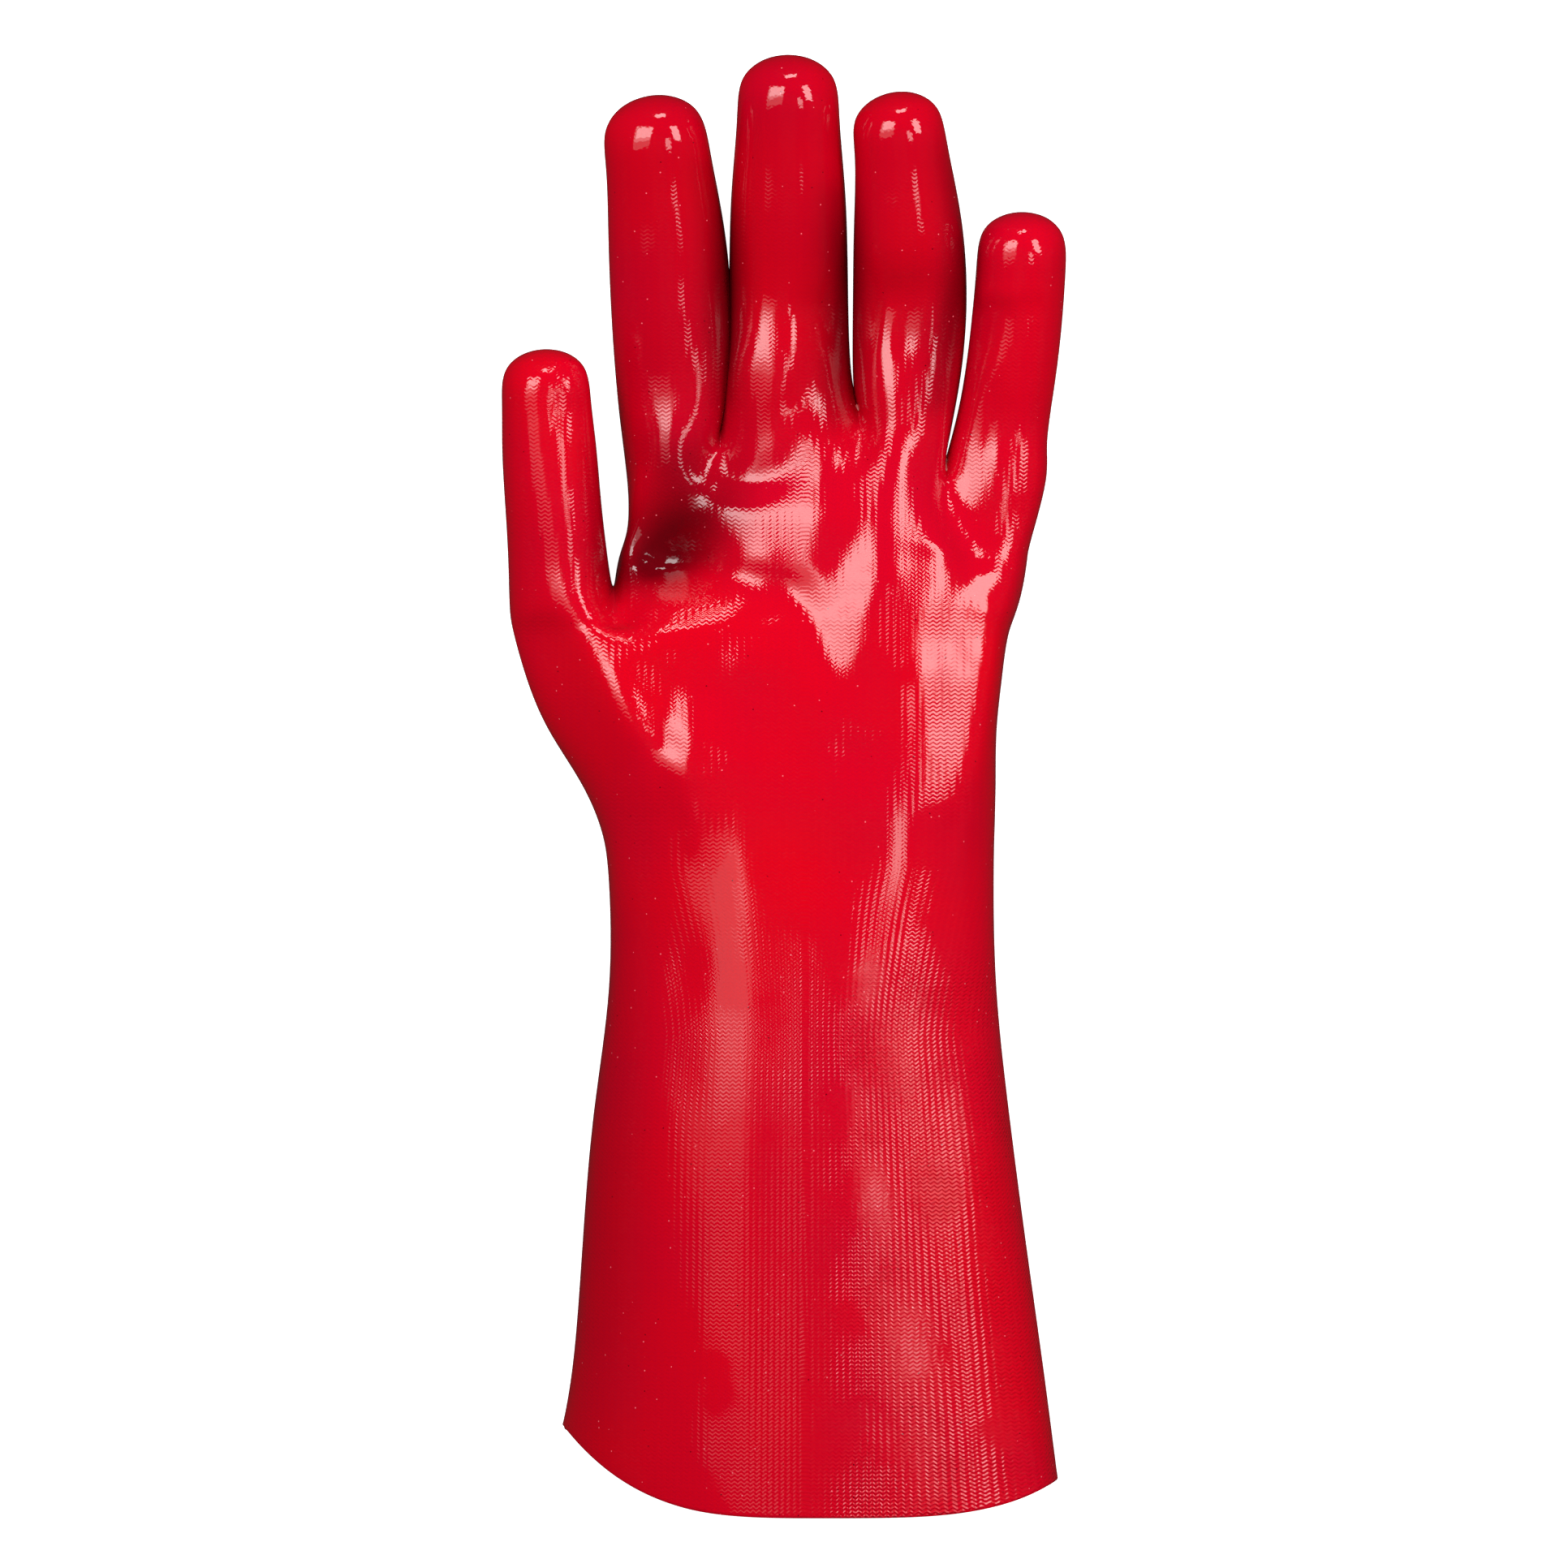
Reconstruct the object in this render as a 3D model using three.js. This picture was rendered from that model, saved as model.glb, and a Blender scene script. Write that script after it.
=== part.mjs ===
// A left-hand gauntlet glove of knitted cotton dipped in PVC. It lies on its back with the palm up
// and the fingertips towards +Y. Millimetres, +Z up, with the origin on the surface that the glove
// lies on, under the middle of its outline.
//
// The wall is one closed solid: an outer skin, an inner skin one wall thickness below it, and the cut
// edge of the mouth that joins them. The skin is a Catmull-Clark surface that passes through the
// sections described below. While it is built, Y is 0 at the wrist and X is 0 at the wrist's middle.
import * as THREE from 'three';

// Driving dimensions.
const WALL = 1.3; // coating and knit together
const CUFF_LENGTH = 144.5; // mouth to wrist
const MOUTH_WIDTH = 119;
const MOUTH_DEPTH = 68;
const WRIST_WIDTH = 92;
const WRIST_DEPTH = 58;
const PALM_LENGTH = 118; // wrist to the middle of the knuckle line
const PALM_WIDTH = 98;
const PALM_DEPTH = 50;
const ROOT_HEIGHT = 22; // finger axes above the surface at the knuckle line
const THUMB_CROTCH = 78; // wrist to the web between thumb and palm

// Each finger and the thumb: reach from its root to its tip along Y, widths at its root, at mid length
// and at its tip, depth, its sideways lean over the whole reach, its bow at mid length, the slope at its
// root, how much steeper it gets by the tip, and its turn about its own axis. Angles are in degrees.
const INDEX = {
  reach: 79.4, root: 23.2, width: 29, tip: 25.4, depth: 27,
  lean: -5.5, bow: 2, slope: 6, curl: 12, roll: 8,
};
const MIDDLE = {
  reach: 85.4, root: 33, width: 28.6, tip: 24.6, depth: 27.5,
  lean: -0.2, bow: 0, slope: 6, curl: 12, roll: 0,
};
const RING = {
  reach: 80.6, root: 21.1, width: 27.4, tip: 22.4, depth: 26.5,
  lean: -2.2, bow: 3, slope: 6, curl: 12, roll: -2,
};
const LITTLE = {
  reach: 59.5, root: 24.2, width: 21.8, tip: 21.5, depth: 23,
  lean: 6.5, bow: 1.4, slope: 6, curl: 8, roll: -6,
};
const THUMB = {
  reach: 56.3, root: 25.3, width: 23.1, tip: 21.4, depth: 26,
  lean: -3.8, bow: -0.4, slope: 7, curl: 3, roll: 0,
};
const FINGERS = [INDEX, MIDDLE, RING, LITTLE];
const KNUCKLE_MIDDLE = 7.6; // middle of the knuckle line, right of the wrist's middle
const THUMB_HEIGHT = 31; // thumb axis above the surface at its crotch

// How far past the knuckle line each web lies, and the hand's two sides beside the first and last
// finger.
const WEBS = [
  { name: 'side of the index finger', ahead: -4 },
  { name: 'index and middle', ahead: -1.3 },
  { name: 'middle and ring', ahead: 3.5 },
  { name: 'ring and little', ahead: -9.5 },
  { name: 'side of the little finger', ahead: -11 },
];

// How far a web's front and back corners are set back towards the wrist.
const WEB_FRONT = 8;
const WEB_BACK = 10;
const THUMB_VALLEY = 6; // how deep the skin dips between thumb and palm

// Rings along a finger's shaft, as shares of the length before its dome. Girth goes from the finger's
// root width (-1) through its own width (0) to its width at the tip (1).
const SHAFT = [
  { along: 0.14, taper: -0.35 },
  { along: 0.42, taper: 0 },
  { along: 0.7, taper: 0.25 },
  { along: 0.93, taper: 0.9 },
];

// Rings over the dome at a finger's end: distance from the tip and girth, in tip radii and tip widths.
const DOME = [
  { fromTip: 0.62, girth: 0.95 },
  { fromTip: 0.2, girth: 0.66 },
];

// The cuff's sections from the mouth to the wrist. Along is a share of the cuff's length from the
// wrist, flare goes from the wrist's size (0) to the mouth's (1), and shift is a share of the width.
// Back, front and the heights of the left and right sides are shares of the depth. Squareness of the
// left and right halves is 2 for an ellipse.
const CUFF_SECTIONS = [
  {
    along: 1, flare: 1, shift: 0.013, back: -0.05, front: 0.95,
    leftAt: 0.3, rightAt: 0.5, leftSquare: 1.75, rightSquare: 2.6,
  },
  {
    along: 0.93, flare: 0.94, shift: 0.012, back: -0.05, front: 0.95,
    leftAt: 0.33, rightAt: 0.5, leftSquare: 1.8, rightSquare: 2.55,
  },
  {
    along: 0.76, flare: 0.756, shift: 0.0105, back: -0.04, front: 0.96,
    leftAt: 0.38, rightAt: 0.5, leftSquare: 1.9, rightSquare: 2.5,
  },
  {
    along: 0.54, flare: 0.52, shift: 0.0015, back: -0.03, front: 0.98,
    leftAt: 0.43, rightAt: 0.5, leftSquare: 2, rightSquare: 2.4,
  },
  {
    along: 0.33, flare: 0.278, shift: -0.0045, back: -0.01, front: 1,
    leftAt: 0.47, rightAt: 0.5, leftSquare: 2.1, rightSquare: 2.3,
  },
  {
    along: 0.13, flare: 0.04, shift: -0.0016, back: 0.02, front: 1,
    leftAt: 0.5, rightAt: 0.5, leftSquare: 2.15, rightSquare: 2.25,
  },
];

// The hand's sections from the wrist to below the thumb's crotch. Along is a share of the palm's length,
// thumb is how far the section reaches over the thumb's root, right is a share of the palm's width, and
// the rest as for the cuff, in shares of the palm's depth. The back rises to leftBack at the left side.
// Spread goes from points spaced evenly (0) to points placed as they lie at the thumb's crotch (1).
const HEEL_SECTIONS = [
  {
    along: 0.05, thumb: 0.04, right: 0.467, back: 0.04, leftBack: 0.04, front: 1.14,
    leftAt: 0.56, rightAt: 0.56, leftSquare: 2.2, rightSquare: 2.25, spread: 0.05,
  },
  {
    along: 0.16, thumb: 0.11, right: 0.469, back: 0.02, leftBack: 0.06, front: 1.12,
    leftAt: 0.57, rightAt: 0.54, leftSquare: 2.2, rightSquare: 2.25, spread: 0.2,
  },
  {
    along: 0.26, thumb: 0.31, right: 0.471, back: -0.01, leftBack: 0.1, front: 1.1,
    leftAt: 0.58, rightAt: 0.51, leftSquare: 2.1, rightSquare: 2.3, spread: 0.4,
  },
  {
    along: 0.365, thumb: 0.61, right: 0.471, back: -0.03, leftBack: 0.17, front: 1.07,
    leftAt: 0.59, rightAt: 0.48, leftSquare: 2, rightSquare: 2.35, spread: 0.6,
  },
  {
    along: 0.47, thumb: 0.82, right: 0.483, back: -0.05, leftBack: 0.25, front: 1.03,
    leftAt: 0.6, rightAt: 0.45, leftSquare: 2, rightSquare: 2.4, spread: 0.8,
  },
  {
    along: 0.56, thumb: 0.94, right: 0.501, back: -0.06, leftBack: 0.3, front: 0.99,
    leftAt: 0.61, rightAt: 0.43, leftSquare: 2.1, rightSquare: 2.45, spread: 0.95,
  },
];

// The palm's section level with the thumb's crotch, and those between it and the knuckles. Follow is
// how far a section follows the line of the webs.
const CROTCH_SECTION = {
  follow: 0, left: -0.466, right: 0.53, back: -0.06, front: 0.94,
  leftAt: 0.5, rightAt: 0.42, leftSquare: 2.4, rightSquare: 2.5,
};
const PALM_SECTIONS = [
  {
    along: 0.725, follow: 0.2, left: -0.452, right: 0.549, back: -0.05, front: 0.9,
    leftAt: 0.46, rightAt: 0.42, leftSquare: 2.5, rightSquare: 2.6,
  },
  {
    along: 0.815, follow: 0.65, left: -0.428, right: 0.56, back: -0.02, front: 0.85,
    leftAt: 0.44, rightAt: 0.42, leftSquare: 2.6, rightSquare: 2.7,
  },
];

// How far the cut edge of the mouth is drawn back from the front of the glove, at its other three
// sides, and how late it turns back: powers of the distance from the middle.
const RIM_DRAWN_BACK = { right: 8.4, back: 11, left: 20.8 };
const RIM_TURN = { left: 3.3, right: 4.1 };

// Soft forms of the palm that rise from or sink into the sections: place as shares of the palm's width
// and length, reach to each side and towards the wrist and the fingers as shares of the width, and
// height in shares of the palm's depth.
const PALM_RELIEF = [
  {
    name: 'hollow of the palm',
    across: -0.06, along: 0.58, wide: 0.2, wrist: 0.3, fingers: 0.26, height: -0.11,
  },
  {
    name: 'mound of the thumb',
    across: -0.44, along: 0.45, wide: 0.14, wrist: 0.22, fingers: 0.22, height: 0.12,
  },
  {
    name: 'heel of the hand',
    across: 0.3, along: 0.36, wide: 0.15, wrist: 0.3, fingers: 0.45, height: 0.05,
  },
  {
    name: 'hollow by the thumb',
    across: -0.32, along: 0.7, wide: 0.13, wrist: 0.05, fingers: 0.14, height: -0.24,
  },
  {
    name: 'ridge below the ring finger',
    across: 0.19, along: 0.76, wide: 0.07, wrist: 0.3, fingers: 0.3, height: 0.05,
  },
];

// A section has the side point of the hand's left, the thumb's front points, the fingers' front points,
// the right side, and the same points again on the back.
const THUMB_POINTS = 2;
const FINGER_FRONT = 2 * FINGERS.length + 1;
const FINGER_POINTS = 8; // round a finger
const CAGE_FIT_ROUNDS = 14;

const radians = THREE.MathUtils.degToRad;
const lerp = THREE.MathUtils.lerp;

// Angles of the front points from the left side (0) to the right side (180): spread evenly round a
// section, or as they lie level with the thumb's crotch.
function frontAngles(spread) {
  const count = THUMB_POINTS + FINGER_FRONT + 1;
  const web = CROTCH_SECTION.left * PALM_WIDTH;
  const left = web - THUMB.root;
  const right = CROTCH_SECTION.right * PALM_WIDTH;
  const turnAt = (x) => Math.acos(1 - (2 * (x - left)) / (right - left));
  return Array.from({ length: count + 1 }, (_, i) => {
    const even = (Math.PI * i) / count;
    const inPalm = (Math.PI * (i - THUMB_POINTS)) / (FINGER_FRONT + 1);
    const x = lerp(web, right, (1 - Math.cos(inPalm)) / 2);
    const atWeb = turnAt(web);
    const atCrotch = i > THUMB_POINTS + 1 ? turnAt(x) : (atWeb * i) / (THUMB_POINTS + 1);
    return lerp(even, atCrotch, spread);
  });
}

// How far back the mouth's edge is drawn: across goes from -1 at the left side to 1 at the right.
function rimOffset(across, facing) {
  const middle = facing > 0 ? 0 : RIM_DRAWN_BACK.back;
  const side = across < 0 ? 'left' : 'right';
  return lerp(middle, RIM_DRAWN_BACK[side], Math.abs(across) ** RIM_TURN[side]);
}

// A surface of quads, with the points that it passes through.
class Skin {
  constructor() {
    this.points = [];
    this.quads = [];
  }

  // Adds points and returns their indices.
  add(points) {
    const first = this.points.length;
    this.points.push(...points);
    return points.map((_, i) => first + i);
  }

  // Joins two loops of equally many points with a band of quads.
  band(lower, upper) {
    lower.forEach((a, i) => {
      const next = (i + 1) % lower.length;
      this.quads.push([a, lower[next], upper[next], upper[i]]);
    });
  }

  // Closes a loop with quads that meet at one point in its middle.
  cap(loop, middle) {
    for (let i = 0; i < loop.length; i += 2) {
      this.quads.push([loop[i], loop[i + 1], loop[(i + 2) % loop.length], middle]);
    }
  }
}

// One section as a ring of points: the left side, the front, the right side and the back.
function sectionRing(outline, angles, depth, placeY) {
  const { left, right, back, leftBack = back, front, leftAt, rightAt, leftSquare, rightSquare } = outline;
  const pointAt = (angle, facing) => {
    const across = -Math.cos(angle);
    const square = across < 0 ? leftSquare : rightSquare;
    const up = (1 - Math.abs(across) ** square) ** (1 / square);
    const side = lerp(leftAt, rightAt, (across + 1) / 2);
    const bottom = lerp(back, leftBack, Math.max(-across, 0));
    const x = lerp(left, right, (across + 1) / 2);
    const z = lerp(side, facing > 0 ? front : bottom, up) * depth;
    return new THREE.Vector3(x, placeY({ x, across, facing }), z);
  };
  const backAngles = angles.slice(1, -1).reverse();
  return [...angles.map((angle) => pointAt(angle, 1)), ...backAngles.map((angle) => pointAt(angle, -1))];
}

function cuffRing(section) {
  const width = lerp(WRIST_WIDTH, MOUTH_WIDTH, section.flare);
  const depth = lerp(WRIST_DEPTH, MOUTH_DEPTH, section.flare);
  const sides = { left: (section.shift - 0.5) * width, right: (section.shift + 0.5) * width };
  const drawn = section.along ** 6;
  const placeY = ({ across, facing }) => drawn * rimOffset(across, facing) - section.along * CUFF_LENGTH;
  return sectionRing({ ...section, ...sides }, frontAngles(0), depth, placeY);
}

function heelRing(section) {
  const sides = {
    left: CROTCH_SECTION.left * PALM_WIDTH - section.thumb * THUMB.root,
    right: section.right * PALM_WIDTH,
  };
  const placeY = () => section.along * PALM_LENGTH;
  return sectionRing({ ...section, ...sides }, frontAngles(section.spread), PALM_DEPTH, placeY);
}

// A ring across the palm alone, from its left side.
function palmRing(section, y) {
  const count = FINGER_FRONT + 1;
  const angles = Array.from({ length: count + 1 }, (_, i) => (Math.PI * i) / count);
  const sides = { left: section.left * PALM_WIDTH, right: section.right * PALM_WIDTH };
  const placeY = ({ x }) => y + section.follow * webLine(x);
  return sectionRing({ ...section, ...sides }, angles, PALM_DEPTH, placeY);
}

// The X of each web between the fingers, and of the hand's two sides, at the knuckle line.
function webPlaces() {
  const total = FINGERS.reduce((sum, finger) => sum + finger.root, 0);
  let x = KNUCKLE_MIDDLE - total / 2;
  return [x, ...FINGERS.map((finger) => (x += finger.root))];
}

// How far past the knuckle line the line through the webs runs at an X.
function webLine(x) {
  const places = webPlaces();
  const after = places.findIndex((place) => place > x);
  if (after === 0) return WEBS[0].ahead;
  if (after < 0) return WEBS[WEBS.length - 1].ahead;
  const share = (x - places[after - 1]) / (places[after] - places[after - 1]);
  return lerp(WEBS[after - 1].ahead, WEBS[after].ahead, share);
}

// Axis of a finger from its root, at 0, to its tip, at 1.
function fingerAxis(finger, root) {
  const slope = Math.tan(radians(finger.slope));
  const curl = Math.tan(radians(finger.curl));
  const at = (t) =>
    new THREE.Vector3(
      root.x + finger.lean * t + 4 * finger.bow * t * (1 - t),
      root.y + finger.reach * t,
      root.z + finger.reach * (slope * t + (curl * t * t) / 2),
    );
  const along = (t) => at(t + 0.01).sub(at(t - 0.01)).normalize();
  return { at, along };
}

// A ring of points square to a direction, starting at its left side and going over its front.
function crossRing({ centre, direction, width, depth, roll }) {
  const side = new THREE.Vector3().crossVectors(direction, new THREE.Vector3(0, 0, 1)).normalize();
  const up = new THREE.Vector3().crossVectors(side, direction).normalize();
  side.applyAxisAngle(direction, roll);
  up.applyAxisAngle(direction, roll);
  return Array.from({ length: FINGER_POINTS }, (_, i) => {
    const angle = Math.PI - (i * 2 * Math.PI) / FINGER_POINTS;
    return centre
      .clone()
      .addScaledVector(side, (width / 2) * Math.cos(angle))
      .addScaledVector(up, (depth / 2) * Math.sin(angle));
  });
}

// Carries a root loop out along a finger and closes it at the tip.
function addFinger(skin, finger, root, rootLoop) {
  const axis = fingerAxis(finger, root);
  const domeShare = finger.tip / 2 / finger.reach;
  const tipDepth = (finger.tip * finger.depth) / finger.width;
  const widthAt = (taper) =>
    taper < 0 ? lerp(finger.width, finger.root, -taper) : lerp(finger.width, finger.tip, taper);
  const ringAt = (t, width, depth) =>
    crossRing({
      centre: axis.at(t),
      direction: axis.along(t),
      width,
      depth,
      roll: radians(finger.roll) * Math.min(1, 3 * t),
    });
  const rings = [
    ...SHAFT.map(({ along, taper }) =>
      ringAt(
        along * (1 - domeShare),
        widthAt(taper),
        lerp(finger.depth, tipDepth, Math.max(taper, 0)),
      ),
    ),
    ...DOME.map(({ fromTip, girth }) =>
      ringAt(1 - fromTip * domeShare, girth * finger.tip, girth * tipDepth),
    ),
  ];
  let loop = rootLoop;
  for (const ring of rings) {
    const next = skin.add(ring);
    skin.band(loop, next);
    loop = next;
  }
  const [tip] = skin.add([axis.at(1)]);
  skin.cap(loop, tip);
}

function addFingers(skin, lastRing) {
  const webs = webPlaces();
  const frontAt = (i) => 1 + i;
  const backAt = (i) => lastRing.length - 1 - i;
  const knuckles = new Array(lastRing.length);
  const middles = [];
  const roots = FINGERS.map((finger, k) => {
    const y = PALM_LENGTH + (WEBS[k].ahead + WEBS[k + 1].ahead) / 2;
    return new THREE.Vector3((webs[k] + webs[k + 1]) / 2, y, ROOT_HEIGHT);
  });
  FINGERS.forEach((finger, k) => {
    const { x, y, z } = roots[k];
    knuckles[frontAt(2 * k + 1)] = new THREE.Vector3(x, y - WEB_FRONT / 2, z + finger.depth * 0.55);
    knuckles[backAt(2 * k + 1)] = new THREE.Vector3(x, y - WEB_BACK * 0.6, z - finger.depth * 0.58);
  });
  webs.forEach((x, k) => {
    const beside = [FINGERS[k - 1], FINGERS[k]].filter(Boolean);
    const mean = (key) => beside.reduce((sum, finger) => sum + finger[key], 0) / beside.length;
    const outer = beside.length === 1 ? Math.sign(k - 1) : 0;
    const y = PALM_LENGTH + WEBS[k].ahead;
    const corner = (mean('depth') / 2) * Math.SQRT1_2;
    const inset = outer * mean('root') * 0.15;
    const setBack = outer ? 0.5 : 1;
    const front = new THREE.Vector3(x - inset, y - WEB_FRONT * setBack, ROOT_HEIGHT + corner);
    const back = new THREE.Vector3(x - inset, y - WEB_BACK * setBack, ROOT_HEIGHT - corner * 1.15);
    knuckles[frontAt(2 * k)] = front;
    knuckles[backAt(2 * k)] = back;
    middles.push(new THREE.Vector3(x, y - (outer ? WEB_FRONT * setBack : 0), ROOT_HEIGHT));
  });
  knuckles[0] = middles[0];
  knuckles[frontAt(FINGER_FRONT)] = middles[FINGERS.length];
  const ring = skin.add(knuckles);
  skin.band(lastRing, ring);
  const middle = [ring[0], ...skin.add(middles.slice(1, -1)), ring[frontAt(FINGER_FRONT)]];
  FINGERS.forEach((finger, k) => {
    const loop = [
      middle[k],
      ...[0, 1, 2].map((i) => ring[frontAt(2 * k + i)]),
      middle[k + 1],
      ...[2, 1, 0].map((i) => ring[backAt(2 * k + i)]),
    ];
    addFinger(skin, finger, roots[k], loop);
  });
}

// Splits the hand at the thumb's crotch: the thumb goes on by itself, and the rest as the palm's ring,
// which is returned.
function addThumb(skin, lastRing) {
  const web = CROTCH_SECTION.left * PALM_WIDTH;
  const root = new THREE.Vector3(web - THUMB.root / 2, THUMB_CROTCH, THUMB_HEIGHT);
  const { at, along } = fingerAxis(THUMB, root);
  const start = -WEB_FRONT / 2 / THUMB.reach;
  const loop = crossRing({
    centre: at(start),
    direction: along(start),
    width: THUMB.root,
    depth: THUMB.depth * 1.08,
    roll: 0,
  });
  const frontZ = (loop[2].z + CROTCH_SECTION.front * PALM_DEPTH) / 2 - THUMB_VALLEY;
  const backZ = (loop[6].z + CROTCH_SECTION.back * PALM_DEPTH) / 2 + THUMB_VALLEY / 2;
  loop[3] = new THREE.Vector3(web, THUMB_CROTCH - WEB_FRONT, frontZ);
  loop[5] = new THREE.Vector3(web, THUMB_CROTCH - WEB_BACK, backZ);
  loop[4] = new THREE.Vector3(web, THUMB_CROTCH, (frontZ + backZ) / 2);
  const palm = palmRing(CROTCH_SECTION, THUMB_CROTCH - WEB_FRONT / 2);
  const crossing = [...loop.slice(0, 4), ...palm.slice(2, -1), ...loop.slice(5)];
  const ring = skin.add(crossing);
  skin.band(lastRing, ring);
  const [middle] = skin.add([loop[4]]);
  const last = ring.length - THUMB_POINTS - 1;
  const thumbLoop = [...ring.slice(0, 4), middle, ...ring.slice(last)];
  addFinger(skin, THUMB, root, thumbLoop);
  return [middle, ...ring.slice(3, last + 1)];
}

// The glove's outer surface as the quads that join its sections.
function gloveSkin() {
  const skin = new Skin();
  let ring;
  for (const points of [...CUFF_SECTIONS.map(cuffRing), ...HEEL_SECTIONS.map(heelRing)]) {
    const next = skin.add(points);
    if (ring) skin.band(ring, next);
    ring = next;
  }
  ring = addThumb(skin, ring);
  for (const section of PALM_SECTIONS) {
    const next = skin.add(palmRing(section, section.along * PALM_LENGTH));
    skin.band(ring, next);
    ring = next;
  }
  addFingers(skin, ring);
  return skin;
}

// Who touches whom on a surface of quads: each point's neighbours along edges and across faces, and
// each edge's faces.
function neighbourhoods(quads, count) {
  const edges = new Map();
  const around = Array.from({ length: count }, () => ({ near: new Set(), across: [], faces: [] }));
  quads.forEach((quad, face) => {
    quad.forEach((a, i) => {
      const b = quad[(i + 1) % 4];
      const key = a < b ? `${a},${b}` : `${b},${a}`;
      if (!edges.has(key)) edges.set(key, { ends: [a, b], faces: [] });
      edges.get(key).faces.push(face);
      around[a].near.add(b);
      around[b].near.add(a);
      around[a].across.push(quad[(i + 2) % 4]);
      around[a].faces.push(face);
    });
  });
  const rim = Array.from({ length: count }, () => []);
  for (const { ends, faces } of edges.values()) {
    if (faces.length === 1) {
      rim[ends[0]].push(ends[1]);
      rim[ends[1]].push(ends[0]);
    }
  }
  return { edges, around, rim };
}

function average(points) {
  const sum = new THREE.Vector3();
  points.forEach((point) => sum.add(point));
  return sum.divideScalar(points.length);
}

// Where each point of a Catmull-Clark cage ends up on its smooth surface.
function limitPoints(points, { around, rim }) {
  return points.map((point, i) => {
    if (rim[i].length) {
      return point.clone().multiplyScalar(4).add(points[rim[i][0]]).add(points[rim[i][1]]).divideScalar(6);
    }
    const n = around[i].near.size;
    const sum = point.clone().multiplyScalar(n * n);
    for (const j of around[i].near) sum.addScaledVector(points[j], 4);
    for (const j of around[i].across) sum.add(points[j]);
    return sum.divideScalar(n * (n + 5));
  });
}

// A cage whose smooth surface passes through the skin's points.
function fittedCage(skin) {
  const links = neighbourhoods(skin.quads, skin.points.length);
  const cage = skin.points.map((point) => point.clone());
  for (let round = 0; round < CAGE_FIT_ROUNDS; round += 1) {
    const reached = limitPoints(cage, links);
    cage.forEach((point, i) => point.add(skin.points[i]).sub(reached[i]));
  }
  return { points: cage, quads: skin.quads, links };
}

// One step of Catmull-Clark: each quad becomes four.
function subdivide({ points, quads, links }) {
  const { edges, around, rim } = links;
  const middles = quads.map((quad) => average(quad.map((i) => points[i])));
  const made = points.map((point, i) => {
    if (rim[i].length) {
      return point.clone().multiplyScalar(6).add(points[rim[i][0]]).add(points[rim[i][1]]).divideScalar(8);
    }
    const n = around[i].near.size;
    const face = average(around[i].faces.map((f) => middles[f]));
    const edge = average([...around[i].near].map((j) => points[j].clone().add(point).divideScalar(2)));
    return point.clone().multiplyScalar(n - 3).add(face).addScaledVector(edge, 2).divideScalar(n);
  });
  const edgePoint = new Map();
  for (const [key, { ends, faces }] of edges) {
    edgePoint.set(key, made.length);
    const parts = ends.map((i) => points[i]);
    if (faces.length === 2) parts.push(...faces.map((f) => middles[f]));
    made.push(average(parts));
  }
  const firstMiddle = made.length;
  made.push(...middles);
  const finer = quads.flatMap((quad, face) =>
    quad.map((a, i) => {
      const pointOn = (b) => edgePoint.get(a < b ? `${a},${b}` : `${b},${a}`);
      return [a, pointOn(quad[(i + 1) % 4]), firstMiddle + face, pointOn(quad[(i + 3) % 4])];
    }),
  );
  return { points: made, quads: finer, links: neighbourhoods(finer, made.length) };
}

// Outward direction at each point.
function normals(points, quads) {
  const found = points.map(() => new THREE.Vector3());
  for (const quad of quads) {
    const [a, b, c, d] = quad.map((i) => points[i]);
    const across = new THREE.Vector3().subVectors(c, a).cross(new THREE.Vector3().subVectors(d, b));
    quad.forEach((i) => found[i].add(across));
  }
  return found.map((normal) => normal.normalize());
}

// Height that the palm's soft forms add at a point of its front.
function palmRelief(point) {
  return PALM_RELIEF.reduce((sum, form) => {
    const across = (point.x - form.across * PALM_WIDTH) / (form.wide * PALM_WIDTH);
    const past = point.y - form.along * PALM_LENGTH;
    const along = past / ((past > 0 ? form.fingers : form.wrist) * PALM_WIDTH);
    return sum + form.height * PALM_DEPTH * Math.exp(-(across ** 2 + along ** 2));
  }, 0);
}

// The outer skin as laid on the surface: relief on the palm, and flat where it rests.
function outerPoints(points, quads) {
  const facing = normals(points, quads);
  return points.map((point, i) => {
    const lift = Math.max(facing[i].z, 0) * palmRelief(point);
    return new THREE.Vector3(point.x, point.y, Math.max(point.z + lift, 0));
  });
}

function gloveGeometry() {
  const fine = subdivide(fittedCage(gloveSkin()));
  const outer = outerPoints(limitPoints(fine.points, fine.links), fine.quads);
  const facing = normals(outer, fine.quads);
  const inner = outer.map((point, i) => {
    const moved = point.clone().addScaledVector(facing[i], -WALL);
    if (point.z < WALL / 2) moved.z = Math.max(moved.z, WALL);
    return moved;
  });
  const count = outer.length;
  const triangles = [];
  const addQuad = (a, b, c, d) => triangles.push(a, b, c, a, c, d);
  for (const [a, b, c, d] of fine.quads) {
    addQuad(a, b, c, d);
    addQuad(count + b, count + a, count + d, count + c);
  }
  for (const { ends, faces } of fine.links.edges.values()) {
    if (faces.length === 1) addQuad(ends[1], ends[0], count + ends[0], count + ends[1]);
  }
  const geometry = new THREE.BufferGeometry();
  geometry.setFromPoints([...outer, ...inner]);
  geometry.setIndex(triangles);
  geometry.computeVertexNormals();
  return geometry;
}

// Moves a geometry so that the origin lies under the middle of its outline, on the surface.
function seatOnSurface(geometry) {
  geometry.computeBoundingBox();
  const { min, max } = geometry.boundingBox;
  geometry.translate(-(min.x + max.x) / 2, -(min.y + max.y) / 2, -min.z);
  return geometry;
}

const pvc = new THREE.MeshStandardMaterial({ color: 0xc8001e, roughness: 0.14, metalness: 0 });

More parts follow.
